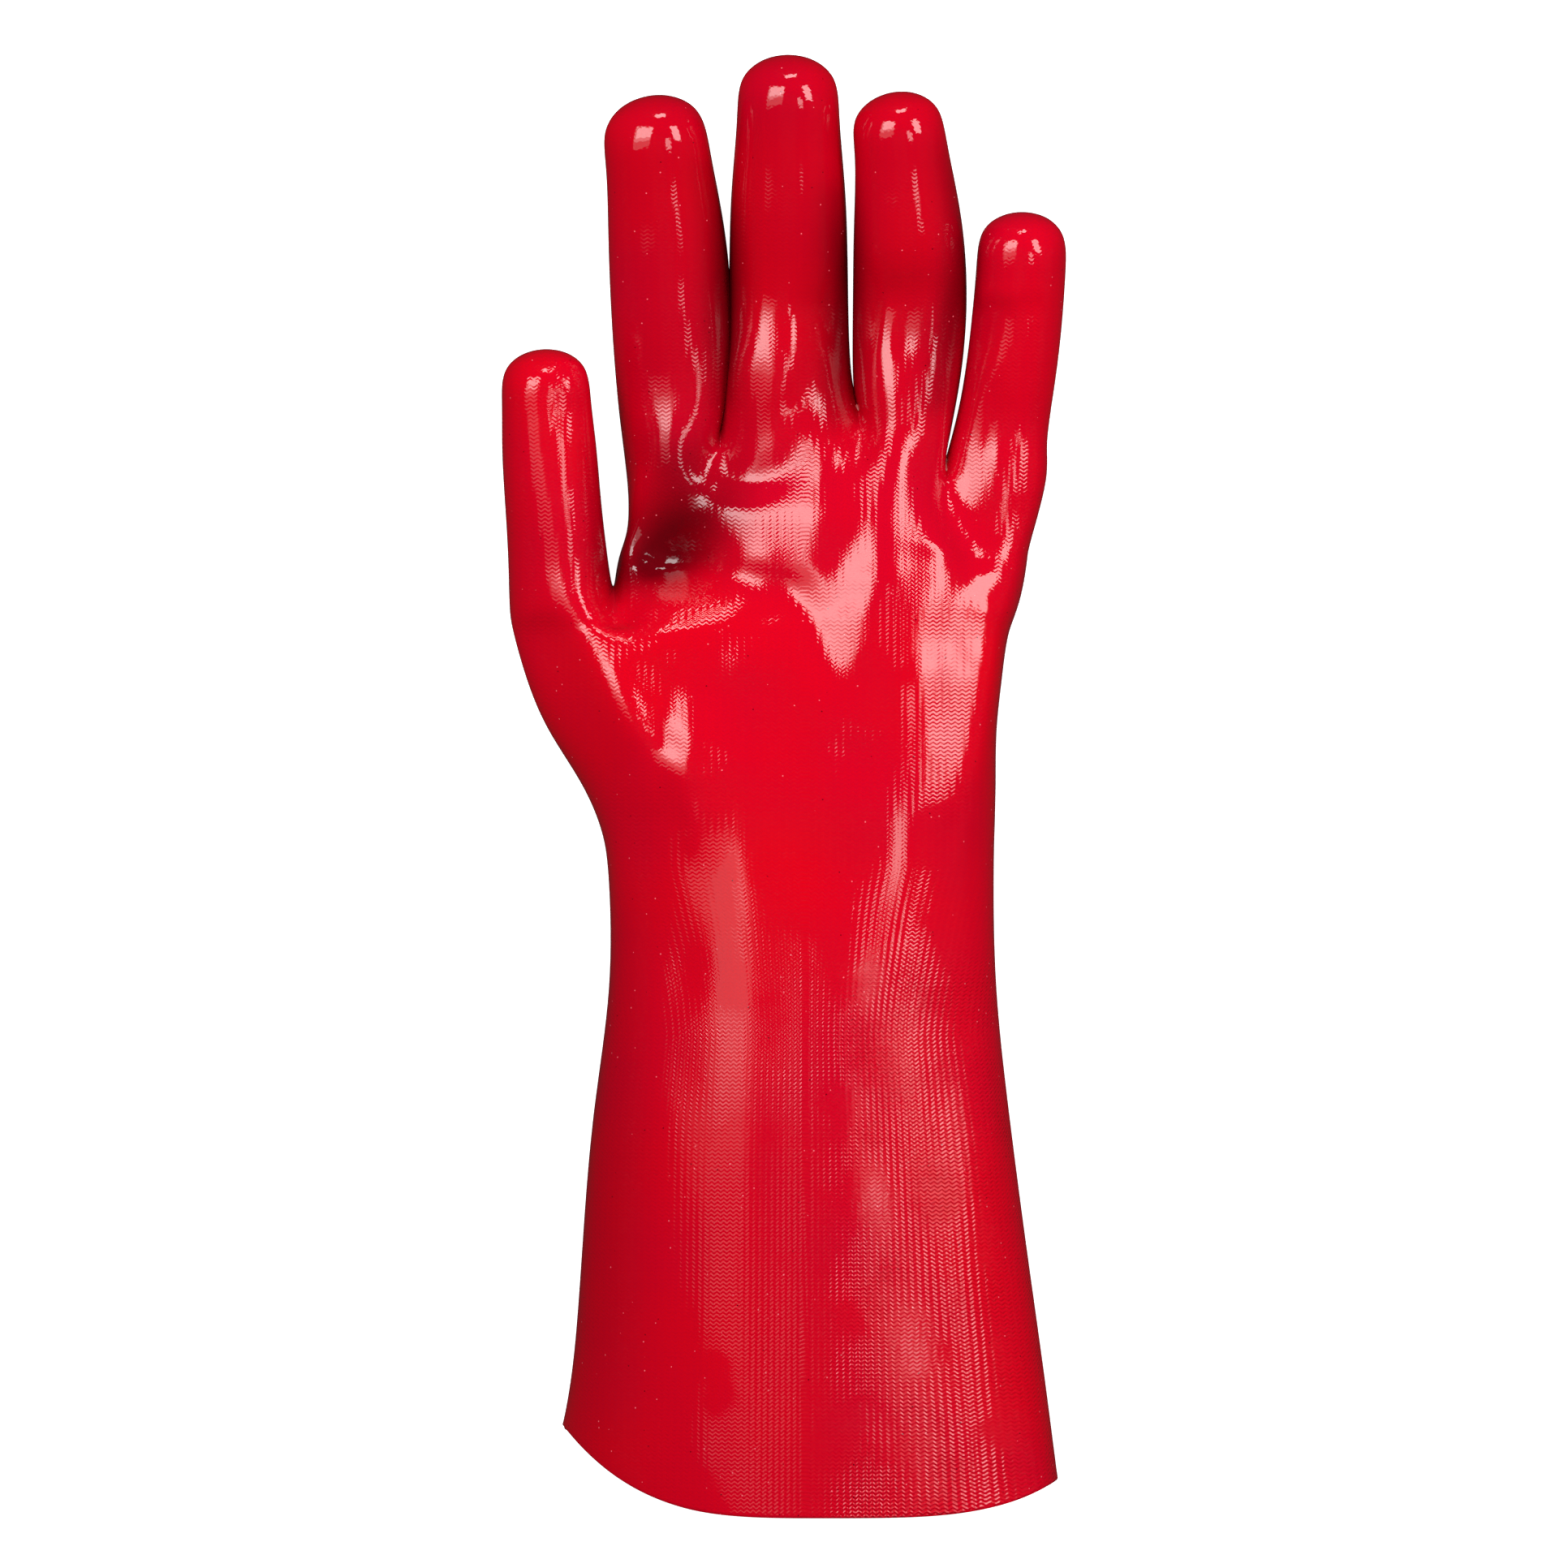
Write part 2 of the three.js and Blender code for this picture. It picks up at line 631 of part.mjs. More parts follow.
const glove = new THREE.Group();
const shell = new THREE.Mesh(seatOnSurface(gloveGeometry()), pvc);
shell.name = 'coated_shell';
glove.add(shell);

export default glove;
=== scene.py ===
"""A left-hand PVC gauntlet glove lying palm up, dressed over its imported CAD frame."""

import logging
import math
from dataclasses import dataclass, field
from enum import Enum
from typing import Any

import bmesh
import bpy
import numpy as np
from mathutils import Matrix, Vector


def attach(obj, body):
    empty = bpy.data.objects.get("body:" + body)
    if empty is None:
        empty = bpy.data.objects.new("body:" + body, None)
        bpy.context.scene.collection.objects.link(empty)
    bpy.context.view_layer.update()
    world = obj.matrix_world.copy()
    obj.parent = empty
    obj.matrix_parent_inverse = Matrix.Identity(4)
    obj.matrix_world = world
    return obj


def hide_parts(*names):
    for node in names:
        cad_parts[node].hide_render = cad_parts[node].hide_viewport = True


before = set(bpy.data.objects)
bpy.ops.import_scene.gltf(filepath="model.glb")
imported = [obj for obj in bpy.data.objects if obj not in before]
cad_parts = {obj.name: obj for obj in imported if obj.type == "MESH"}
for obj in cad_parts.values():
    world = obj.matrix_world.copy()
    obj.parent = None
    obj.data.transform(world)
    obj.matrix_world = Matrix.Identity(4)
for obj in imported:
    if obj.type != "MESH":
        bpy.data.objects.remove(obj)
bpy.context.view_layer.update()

log = logging.getLogger("glove")

Colour = tuple[float, float, float, float]

MM = 0.001
PIXEL = 0.19455 * MM
PHOTO_PIXELS = 1932
NOISE_MEAN = 0.5
SHELL_NODE = "coated_shell"


class Relief(Enum):
    """How a soft form changes the glove's surface."""

    RISE = 1
    SINK = -1


class Socket:
    """A shader socket on which Python's operators add Math nodes."""

    def __init__(self, graph: "Graph", socket: bpy.types.NodeSocket | None) -> None:
        """Wraps a socket.

        Args:
            graph: The graph that the socket is in.
            socket: The output socket, or None after a node without outputs.
        """
        self.graph = graph
        self.socket = socket

    def math(self, operation: str, *others: Any) -> "Socket":
        """Adds a Math node on this socket.

        Args:
            operation: The Math node's operation.
            others: Its other inputs, sockets or numbers.

        Returns:
            The node's output.
        """
        values = dict(enumerate((self, *others)))
        return self.graph.add("ShaderNodeMath", {"operation": operation}, values)

    def __add__(self, other: Any) -> "Socket":
        """Returns the sum."""
        return self.math("ADD", other)

    def __radd__(self, other: Any) -> "Socket":
        """Returns the sum with a number on the left."""
        return self.math("ADD", other)

    def __sub__(self, other: Any) -> "Socket":
        """Returns the difference."""
        return self.math("SUBTRACT", other)

    def __rsub__(self, other: Any) -> "Socket":
        """Returns a number less this socket."""
        return self.graph.add("ShaderNodeMath", {"operation": "SUBTRACT"}, {0: other, 1: self})

    def __mul__(self, other: Any) -> "Socket":
        """Returns the product."""
        return self.math("MULTIPLY", other)

    def __rmul__(self, other: Any) -> "Socket":
        """Returns the product with a number on the left."""
        return self.math("MULTIPLY", other)

    def sin(self) -> "Socket":
        """Returns the sine."""
        return self.math("SINE")

    def cos(self) -> "Socket":
        """Returns the cosine."""
        return self.math("COSINE")

    def at_least(self, least: float) -> "Socket":
        """Returns the value, or the least one where it is lower."""
        return self.math("MAXIMUM", least)

    def clamp(self) -> "Socket":
        """Returns the value kept between 0 and 1."""
        return self.math("MINIMUM", 1.0).at_least(0.0)

    def above(self, limit: float) -> "Socket":
        """Returns 1 where the value is above the limit, and 0 elsewhere."""
        return self.math("GREATER_THAN", limit)

    def below(self, limit: float) -> "Socket":
        """Returns 1 where the value is below the limit, and 0 elsewhere."""
        return self.math("LESS_THAN", limit)

    def beside(self, output: Any) -> "Socket":
        """Returns another output of the same node, by name or number."""
        return Socket(self.graph, self.socket.node.outputs[output])


class Graph:
    """The node graph of one material."""

    def __init__(self, name: str) -> None:
        """Starts a material with an empty graph.

        Args:
            name: The material's name.
        """
        self.material = bpy.data.materials.new(name)
        self.material.use_nodes = True
        self.nodes = self.material.node_tree.nodes
        self.links = self.material.node_tree.links
        self.nodes.clear()

    def add(
        self,
        kind: str,
        settings: dict[str, Any] | None = None,
        inputs: dict[Any, Any] | None = None,
        output: Any = 0,
    ) -> Socket:
        """Adds a node.

        Args:
            kind: The node's type.
            settings: Its properties, set before its inputs.
            inputs: Values or sockets for its inputs, by name or number.
            output: The output to return, by name or number.

        Returns:
            The chosen output.
        """
        node = self.nodes.new(kind)
        for key, value in (settings or {}).items():
            setattr(node, key, value)
        for key, value in (inputs or {}).items():
            if isinstance(value, Socket):
                self.links.new(value.socket, node.inputs[key])
            else:
                node.inputs[key].default_value = value
        return Socket(self, node.outputs[output] if len(node.outputs) else None)

    def mix(self, share: Any, first: Any, second: Any) -> Socket:
        """Mixes two colours.

        Args:
            share: How much of the second.
            first: The first colour.
            second: The second colour.

        Returns:
            The mixed colour.
        """
        return self.add("ShaderNodeMix", {"data_type": "RGBA"}, {0: share, 6: first, 7: second}, 2)

    def attribute(self, name: str, output: str = "Fac") -> Socket:
        """Reads one of the mesh's attributes, a number or, by the output Vector, a place."""
        return self.add("ShaderNodeAttribute", {"attribute_name": name}, None, output)

    def bump(self, height: Socket) -> Socket:
        """Turns a height in metres into a normal."""
        return self.add("ShaderNodeBump", None, {"Strength": 1.0, "Distance": 1.0, "Height": height})

    def surface(self, inputs: dict[str, Any]) -> bpy.types.Material:
        """Ends the graph in a surface.

        Args:
            inputs: The surface's values and sockets, by name.

        Returns:
            The material.
        """
        shader = self.add("ShaderNodeBsdfPrincipled", None, inputs)
        self.add("ShaderNodeOutputMaterial", None, {"Surface": shader})
        return self.material


@dataclass(frozen=True)
class KnitPattern:
    """The loops of the liner, which show through the coat. Pitches are in metres."""

    wale: float = 1.75 * MM
    course: float = 0.97 * MM
    sway: float = 1.6
    wale_share: float = 0.3
    course_share: float = 0.7

    def height(self, graph: Graph) -> Socket:
        """Builds the loops' height.

        Args:
            graph: The material's graph.

        Returns:
            A height from about -1 to 1.
        """
        place = graph.attribute("knit", "Vector")
        across = graph.add("ShaderNodeSeparateXYZ", None, {0: place})
        along = across.beside(1)
        wale = (across * (2 * math.pi / self.wale)).cos()
        course = (along * (2 * math.pi / self.course) + wale * self.sway).sin()
        return course * self.course_share + wale * self.wale_share


@dataclass(frozen=True)
class Mottle:
    """A soft irregular pattern, as often as scale says in a metre, and along times that lengthwise."""

    scale: float
    detail: float = 2.0
    roughness: float = 0.5
    along: float = 1.0

    def value(self, graph: Graph, place: Socket) -> Socket:
        """Builds the pattern.

        Args:
            graph: The material's graph.
            place: Where it is read.

        Returns:
            Its value, on average NOISE_MEAN.
        """
        factors = {0: place, 1: (1.0, self.along, 1.0)}
        stretched = graph.add("ShaderNodeVectorMath", {"operation": "MULTIPLY"}, factors)
        values = {
            "Vector": stretched,
            "Scale": self.scale,
            "Detail": self.detail,
            "Roughness": self.roughness,
        }
        return graph.add("ShaderNodeTexNoise", None, values, "Fac")


@dataclass(frozen=True)
class Dots:
    """Small scattered dots.

    Scale counts cells in a metre, radius is a share of a cell, and rarity the share of cells without a dot.
    """

    colour: Colour
    scale: float
    radius: float
    rarity: float

    def over(self, graph: Graph, place: Socket, ground: Socket) -> Socket:
        """Lays the dots over a colour.

        Args:
            graph: The material's graph.
            place: Where they are read.
            ground: The colour round them.

        Returns:
            The colour with its dots.
        """
        cells = {"Vector": place, "Scale": self.scale}
        distance = graph.add("ShaderNodeTexVoronoi", None, cells, "Distance")
        chance = graph.add("ShaderNodeSeparateColor", None, {0: distance.beside("Color")})
        dot = distance.below(self.radius) * chance.above(self.rarity)
        return graph.mix(dot, ground, self.colour)


@dataclass(frozen=True)
class PvcCoat:
    """Glossy dipped coat with the liner's knit faintly showing through it. Heights are in metres."""

    red: Colour = (0.70, 0.0004, 0.008, 1.0)
    deep: Colour = (0.56, 0.0003, 0.018, 1.0)
    # Very dark red painted where shade falls: the hollow by the thumb, the walls between the fingers and
    # the cuff's left side.
    painted_shade_colour: Colour = (0.10, 0.0001, 0.003, 1.0)
    tint: Mottle = Mottle(22.0)
    tint_contrast: float = 1.4
    tint_shift: float = 0.2
    thin_spots: float = 0.16
    specks: Dots = Dots((0.85, 0.16, 0.2, 1.0), scale=340.0, radius=0.06, rarity=0.4)
    pores: Dots = Dots((0.09, 0.0, 0.004, 1.0), scale=280.0, radius=0.05, rarity=0.5)
    knit: KnitPattern = KnitPattern()
    knit_height: float = 0.034 * MM
    patches: Mottle = Mottle(55.0)
    patch_contrast: float = 3.6
    patch_shift: float = 0.8
    patch_least: float = 0.2
    sag: Mottle = Mottle(90.0, 3.0, 0.55, along=0.35)
    sag_height: float = 0.035 * MM
    streaks: Mottle = Mottle(650.0, 2.0, 0.6, along=0.12)
    streak_height: float = 0.03 * MM
    roughness: float = 0.04
    knit_roughness: float = 0.03
    grain: Mottle = Mottle(1400.0, 2.0, 0.6)
    grain_roughness: float = 0.02
    refraction: float = 1.52

    def material(self) -> bpy.types.Material:
        """Builds the material.

        Returns:
            The material.
        """
        graph = Graph("glossy_red_pvc")
        place = graph.add("ShaderNodeTexCoord", None, None, "Object")
        emboss = graph.attribute("emboss")
        loops = self.knit.height(graph)
        grain = self.grain.value(graph, place)
        inputs = {
            "Base Color": self._colour(graph, place, loops),
            "Roughness": self.roughness + emboss * self.knit_roughness + grain * self.grain_roughness,
            "IOR": self.refraction,
            "Normal": graph.bump(self._height(graph, place, loops, emboss)),
        }
        return graph.surface(inputs)

    def _colour(self, graph: Graph, place: Socket, loops: Socket) -> Socket:
        """Builds the coat's colour, with shade painted into it where the painted shade share is high.

        Args:
            graph: The material's graph.
            place: Where it is read.
            loops: The height of the liner's loops.

        Returns:
            The colour.
        """
        tint = self.tint.value(graph, place) * self.tint_contrast - self.tint_shift
        tint = (tint + loops * self.thin_spots).clamp()
        colour = graph.mix(tint, self.red, self.deep)
        # Painted shade: mixes the red towards the dark painted shade colour by the share stored on the
        # mesh.
        colour = graph.mix(graph.attribute("painted_shade_share"), colour, self.painted_shade_colour)
        colour = self.specks.over(graph, place, colour)
        return self.pores.over(graph, place, colour)

    def _height(self, graph: Graph, place: Socket, loops: Socket, emboss: Socket) -> Socket:
        """Builds the coat's fine relief.

        Args:
            graph: The material's graph.
            place: Where it is read.
            loops: The height of the liner's loops.
            emboss: How far the loops show.

        Returns:
            The height in metres.
        """
        patches = self.patches.value(graph, place) * self.patch_contrast - self.patch_shift
        sag = self.sag.value(graph, place) - NOISE_MEAN
        streaks = self.streaks.value(graph, place) - NOISE_MEAN
        return (
            loops * emboss * patches.at_least(self.patch_least) * self.knit_height
            + sag * emboss * self.sag_height
            + streaks * emboss * self.streak_height
        )


@dataclass(frozen=True)
class KnitLining:
    """The liner's bare cotton inside, stained red by the coat. Its height is in metres."""

    stained: Colour = (0.52, 0.06, 0.06, 1.0)
    pale: Colour = (0.72, 0.35, 0.32, 1.0)
    pale_share: float = 0.35
    loop_contrast: float = 0.3
    loop_height: float = 0.12 * MM
    roughness: float = 0.9
    knit: KnitPattern = KnitPattern()

    def material(self) -> bpy.types.Material:
        """Builds the material.

        Returns:
            The material.
        """
        graph = Graph("stained_cotton_knit")
        loops = self.knit.height(graph)
        share = (loops * self.loop_contrast + self.pale_share).clamp()
        inputs = {
            "Base Color": graph.mix(share, self.stained, self.pale),
            "Roughness": self.roughness,
            "Normal": graph.bump(loops * self.loop_height),
        }
        return graph.surface(inputs)


@dataclass(frozen=True)
class FloorFinish:
    """A plain white floor that glows a little, as a lit table does."""

    colour: Colour = (0.93, 0.93, 0.93, 1.0)
    roughness: float = 0.9
    glow_colour: Colour = (1.0, 1.0, 1.0, 1.0)
    glow: float = 0.97

    def material(self) -> bpy.types.Material:
        """Builds the material.

        Returns:
            The material.
        """
        inputs = {
            "Base Color": self.colour,
            "Roughness": self.roughness,
            "Emission Color": self.glow_colour,
            "Emission Strength": self.glow,
        }
        return Graph("white_floor").surface(inputs)


@dataclass
class Stroke:
    """A soft form along a line on the palm side, in millimetres.

    Its height fades out sideways over a width to the left and one to the right of the line, and by the
    share of taper towards both ends.
    """

    name: str
    relief: Relief
    height: float
    widths: tuple[float, float]
    line: list[tuple[float, float]]
    taper: float = 0.5
    span_steps: int = 6

    def path(self) -> np.ndarray:
        """Rounds the line's corners.

        Returns:
            Points of a curve through the line's points.
        """
        given = np.array(self.line, dtype=float)
        if len(given) < 3:
            return given
        before, after = 2 * given[0] - given[1], 2 * given[-1] - given[-2]
        ends = np.vstack([before, given, after])
        t = (np.arange(self.span_steps) / self.span_steps)[:, None]
        spans = []
        for a, b, c, d in zip(ends, ends[1:], ends[2:], ends[3:]):
            cubic = (3 * (b - c) + d - a) * t**3 + (2 * a - 5 * b + 4 * c - d) * t**2
            spans.append(b + (cubic + (c - a) * t) / 2)
        return np.vstack([*spans, given[-1:]])

    def lift(self, across: np.ndarray, along: np.ndarray) -> np.ndarray:
        """Works out how far the stroke moves points.

        Args:
            across: X of the points in millimetres.
            along: Y of the points in millimetres.

        Returns:
            The lift of each point in millimetres.
        """
        path = self.path()
        steps = np.diff(path, axis=0)
        lengths = np.hypot(*steps.T)
        starts = np.concatenate([[0.0], np.cumsum(lengths)])
        gap = np.full(across.shape, np.inf)
        share = np.zeros(across.shape)
        turn = np.zeros(across.shape)
        for (x, y), (dx, dy), length, start in zip(path, steps, lengths, starts):
            t = np.clip(((across - x) * dx + (along - y) * dy) / length**2, 0, 1)
            off_x, off_y = across - x - t * dx, along - y - t * dy
            found = np.hypot(off_x, off_y)
            nearer = found < gap
            gap = np.where(nearer, found, gap)
            share = np.where(nearer, (start + t * length) / starts[-1], share)
            turn = np.where(nearer, dx * off_y - dy * off_x, turn)
        width = np.where(turn > 0, *self.widths)
        fade = 1 - self.taper * (2 * share - 1) ** 2
        return self.relief.value * self.height * fade * np.exp(-((gap / width) ** 2))


def painted_shade_places() -> list[Stroke]:
    """Lists where shade is painted into the coat's red: the hollow by the thumb, the walls between the
    fingers, the fingers and the left side of the cuff.

    Returns:
        Strokes whose height is the share of the painted shade, with widths and lines in millimetres.
    """
    # Painted shade: each stroke darkens the red where shade falls, not where the coat is thicker.
    return [
        Stroke(
            "thumb hollow", Relief.RISE, 0.9, (9.0, 8.0), [(-38.0, 54.0), (-26.5, 61.0), (-15.0, 66.0)]
        ),
        Stroke(
            "thumb mound", Relief.RISE, 0.6, (5.0, 4.0), [(-39.0, 49.0), (-29.0, 51.5), (-20.0, 54.0)]
        ),
        Stroke(
            "root of the index finger", Relief.RISE, 0.45, (7.0, 7.0), [(-31.0, 79.0), (-18.6, 74.0)]
        ),
        Stroke(
            "index side", Relief.RISE, 0.75, (4.0, 6.0), [(-16.0, 145.0), (-13.5, 129.0), (-14.0, 94.0)]
        ),
        Stroke(
            "middle side", Relief.RISE, 0.8, (5.0, 6.0), [(13.5, 139.0), (15.0, 120.0), (13.5, 90.0)]
        ),
        Stroke("ring side", Relief.RISE, 0.7, (4.0, 5.0), [(40.5, 149.0), (43.5, 129.0), (37.5, 93.0)]),
        Stroke("thumb side", Relief.RISE, 0.4, (3.5, 4.0), [(-44.5, 79.0), (-42.0, 55.0)]),
        Stroke(
            "index finger", Relief.RISE, 0.2, (13.0, 13.0), [(-30.0, 175.0), (-28.0, 90.0)], taper=0.3
        ),
        Stroke("middle finger", Relief.RISE, 0.2, (13.0, 13.0), [(1.0, 185.0), (1.0, 92.0)], taper=0.3),
        Stroke("ring finger", Relief.RISE, 0.16, (12.0, 12.0), [(30.0, 165.0), (31.0, 95.0)], taper=0.3),
        Stroke(
            "cuff side",
            Relief.RISE,
            0.25,
            (12.0, 12.0),
            [(-40.0, -36.0), (-43.0, -85.0), (-46.0, -150.0)],
        ),
    ]


def hand_folds() -> list[Stroke]:
    """Lists the ridges, hollows and folds of the palm, the fingers and the thumb.

    Returns:
        The strokes, with heights, widths and lines in millimetres.
    """
    return [
        Stroke(
            "ring ridge",
            Relief.RISE,
            1.74,
            (5.7, 6.2),
            [(24.2, 105.3), (23.8, 87.8), (22.7, 68.3), (19.9, 48.9), (16.8, 33.3)],
            taper=0.6,
        ),
        Stroke(
            "wedge between the ridges",
            Relief.SINK,
            3.23,
            (12.2, 6.3),
            [(19.8, 78.4), (20.9, 62.8), (21.3, 49.2)],
            taper=0.6,
        ),
        Stroke(
            "middle ridge",
            Relief.RISE,
            0.84,
            (4.7, 5.0),
            [(10.7, 76.1), (8.4, 61.5), (10.0, 45.9), (13.9, 28.4), (14.6, 14.8)],
            taper=0.6,
        ),
        Stroke(
            "flat beside the ridges",
            Relief.RISE,
            2.81,
            (5.8, 11.6),
            [(-1.6, 46.2), (2.3, 30.7), (9.1, 15.1)],
            taper=0.6,
        ),
        Stroke(
            "crest of the band",
            Relief.RISE,
            1.76,
            (7.2, 2.4),
            [(-15.2, 54.3), (-5.4, 53.2), (4.3, 50.5), (9.1, 40.7)],
            taper=0.6,
        ),
        Stroke(
            "valley across the palm",
            Relief.SINK,
            2.60,
            (3.0, 3.8),
            [(-17.5, 71.3), (-10.5, 72.6), (-2.8, 74.2), (5.0, 79.6)],
            taper=0.6,
        ),
        Stroke(
            "hollow by the thumb",
            Relief.SINK,
            1.41,
            (3.5, 2.5),
            [(-39.1, 53.3), (-31.3, 52.3), (-22.5, 53.3)],
        ),
        Stroke(
            "edge of the thumb mound",
            Relief.RISE,
            0.54,
            (9.0, 3.1),
            [(-37.1, 41.1), (-28.8, 37.6), (-19.0, 36.4), (-10.3, 39.1)],
        ),
        Stroke(
            "crease at the web",
            Relief.RISE,
            1.27,
            (2.5, 2.6),
            [(-33.7, 72.8), (-37.2, 65.0), (-38.8, 53.3)],
        ),
        Stroke(
            "thumb ridge",
            Relief.RISE,
            2.55,
            (4.8, 9.5),
            [(-54.1, 82.3), (-51.1, 62.8), (-47.8, 47.2), (-42.0, 33.6), (-33.6, 20.0), (-25.9, 10.3)],
        ),
        Stroke(
            "valley beside the thumb ridge",
            Relief.SINK,
            2.85,
            (8.3, 2.6),
            [(-44.4, 38.8), (-36.2, 25.1), (-28.4, 10.5)],
        ),
        Stroke(
            "upright crease",
            Relief.RISE,
            2.56,
            (11.6, 4.8),
            [(-22.0, 21.5), (-21.7, 9.8), (-22.4, -1.9)],
        ),
        Stroke(
            "edge of the hand",
            Relief.RISE,
            3.65,
            (10.2, 5.1),
            [(45.3, 53.9), (47.8, 34.5), (45.9, 13.1), (42.4, -4.5)],
            taper=0.6,
        ),
        Stroke(
            "fold from the ring finger",
            Relief.RISE,
            2.40,
            (11.0, 8.0),
            [(38.3, 110.7), (35.5, 95.1), (34.4, 79.5), (38.9, 62.0)],
        ),
        Stroke(
            "fold from the little finger",
            Relief.RISE,
            1.30,
            (3.0, 3.0),
            [(61.6, 81.2), (59.3, 61.7), (53.0, 42.3)],
        ),
        Stroke(
            "valley below the little finger",
            Relief.SINK,
            2.59,
            (6.1, 4.4),
            [(43.7, 65.7), (45.7, 54.0), (44.7, 42.4)],
        ),
        Stroke(
            "root of the middle finger",
            Relief.RISE,
            2.99,
            (3.6, 15.4),
            [(2.4, 109.2), (-1.1, 95.5), (-6.7, 80.0)],
        ),
        Stroke(
            "valley left of the middle finger",
            Relief.SINK,
            2.20,
            (2.4, 5.8),
            [(-11.8, 97.6), (-13.8, 86.0), (-16.5, 77.0)],
        ),
        Stroke(
            "root of the index finger", Relief.RISE, 1.02, (6.0, 2.5), [(-20.1, 99.2), (-21.1, 83.7)]
        ),
        Stroke(
            "crease below the index finger",
            Relief.SINK,
            2.00,
            (5.0, 3.6),
            [(-19.5, 76.5), (-15.5, 74.8), (-10.7, 75.5), (-6.8, 81.3)],
        ),
        Stroke("pad of the ring finger", Relief.SINK, 2.28, (14.9, 6.0), [(28.8, 110.1), (28.4, 100.3)]),
        Stroke(
            "fold between middle and ring", Relief.RISE, 3.67, (5.7, 5.2), [(9.0, 83.1), (11.9, 75.3)]
        ),
        Stroke("pad of the little finger", Relief.SINK, 1.60, (9.0, 4.0), [(51.4, 94.3), (48.4, 78.7)]),
        Stroke("heel of the thumb", Relief.RISE, 1.58, (12.2, 9.0), [(-35.7, 5.9), (-27.9, -5.8)]),
        Stroke("heel of the palm", Relief.SINK, 1.20, (8.6, 9.0), [(11.4, 6.8), (27.0, 4.9)]),
        Stroke(
            "thumb crest", Relief.SINK, 1.70, (4.5, 5.8), [(-55.7, 98.9), (-54.6, 83.3), (-52.6, 65.8)]
        ),
        Stroke("web of the thumb", Relief.SINK, 1.81, (3.7, 7.7), [(-43.5, 50.9), (-39.7, 43.2)]),
        Stroke("upper right of the palm", Relief.SINK, 4.10, (9.4, 13.8), [(48.6, 70.0), (47.7, 50.5)]),
        Stroke("middle of the palm", Relief.RISE, 2.43, (11.4, 7.4), [(-11.7, 36.7), (-7.8, 21.1)]),
        Stroke("below the ring ridge", Relief.SINK, 0.80, (9.1, 5.9), [(25.3, 22.4), (27.3, 6.8)]),
        Stroke(
            "first joint of the middle finger",
            Relief.SINK,
            2.98,
            (12.7, 10.3),
            [(-6.5, 115.8), (11.0, 115.8)],
            taper=0.3,
        ),
        Stroke(
            "first joint of the index finger",
            Relief.SINK,
            0.84,
            (9.4, 8.1),
            [(-36.5, 95.5), (-20.5, 95.5)],
            taper=0.3,
        ),
        Stroke(
            "first joint of the ring finger",
            Relief.SINK,
            4.62,
            (6.4, 17.6),
            [(20.9, 115.4), (37.2, 115.4)],
            taper=0.3,
        ),
        Stroke(
            "root of the little finger",
            Relief.SINK,
            1.20,
            (12.6, 5.5),
            [(46.0, 84.8), (59.6, 84.8)],
            taper=0.3,
        ),
        Stroke(
            "left of the middle root",
            Relief.RISE,
            1.80,
            (2.9, 6.4),
            [(-6.1, 104.2), (-11.9, 92.5), (-16.8, 83.8)],
        ),
    ]


def cuff_folds() -> list[Stroke]:
    """Lists the ridges, hollows and folds of the wrist and the cuff.

    Returns:
        The strokes, with heights, widths and lines in millimetres.
    """
    return [
        Stroke(
            "ridge down the cuff",
            Relief.RISE,
            0.91,
            (8.6, 7.0),
            [(-7.2, 2.6), (-10.1, -36.4), (-11.1, -65.5), (-12.6, -94.7), (-15.0, -123.9), (-16.9, -170.6)],
            taper=0.3,
        ),
        Stroke("dent above the ridge", Relief.SINK, 0.96, (5.7, 6.3), [(-24.5, -35.4), (-25.6, -54.9)]),
        Stroke("dent beside the ridge", Relief.SINK, 0.56, (5.7, 5.8), [(-26.0, -64.0), (-24.4, -73.7)]),
        Stroke("flat front", Relief.RISE, 0.51, (11.0, 11.0), [(7.3, -36.6), (7.3, -153.4)], taper=0.3),
        Stroke(
            "right ridge",
            Relief.RISE,
            1.30,
            (12.0, 12.0),
            [(14.5, -43.7), (14.9, -84.5), (18.0, -154.6)],
            taper=0.3,
        ),
        Stroke(
            "dent right of the ridge",
            Relief.SINK,
            0.50,
            (7.0, 7.0),
            [(36.0, -46.0), (38.0, -71.3), (38.9, -94.7)],
        ),
        Stroke("second right ridge", Relief.RISE, 0.90, (5.5, 5.5), [(46.7, -65.1), (47.7, -104.0)]),
        Stroke(
            "step under the wrist",
            Relief.RISE,
            0.60,
            (7.0, 7.0),
            [(15.5, -42.2), (31.1, -41.3), (46.6, -43.2)],
        ),
        Stroke("wrist at the right", Relief.SINK, 0.46, (8.0, 8.5), [(40.4, -8.0), (43.3, -29.4)]),
        Stroke("start of the ridge", Relief.RISE, 0.93, (6.0, 6.7), [(-19.4, 4.8), (-23.3, -10.8)]),
        Stroke("hollow of the wrist", Relief.SINK, 1.20, (10.1, 10.0), [(-1.8, -16.9), (17.7, -18.8)]),
        Stroke("low dent at the right", Relief.RISE, 0.30, (7.0, 9.0), [(26.2, -144.4), (41.8, -156.1)]),
        Stroke("low dent in front", Relief.RISE, 0.14, (7.0, 7.0), [(-12.6, -133.1), (-10.6, -154.5)]),
    ]


def glove_folds() -> list[Stroke]:
    """Returns the folds of the hand and of the cuff."""
    return hand_folds() + cuff_folds()


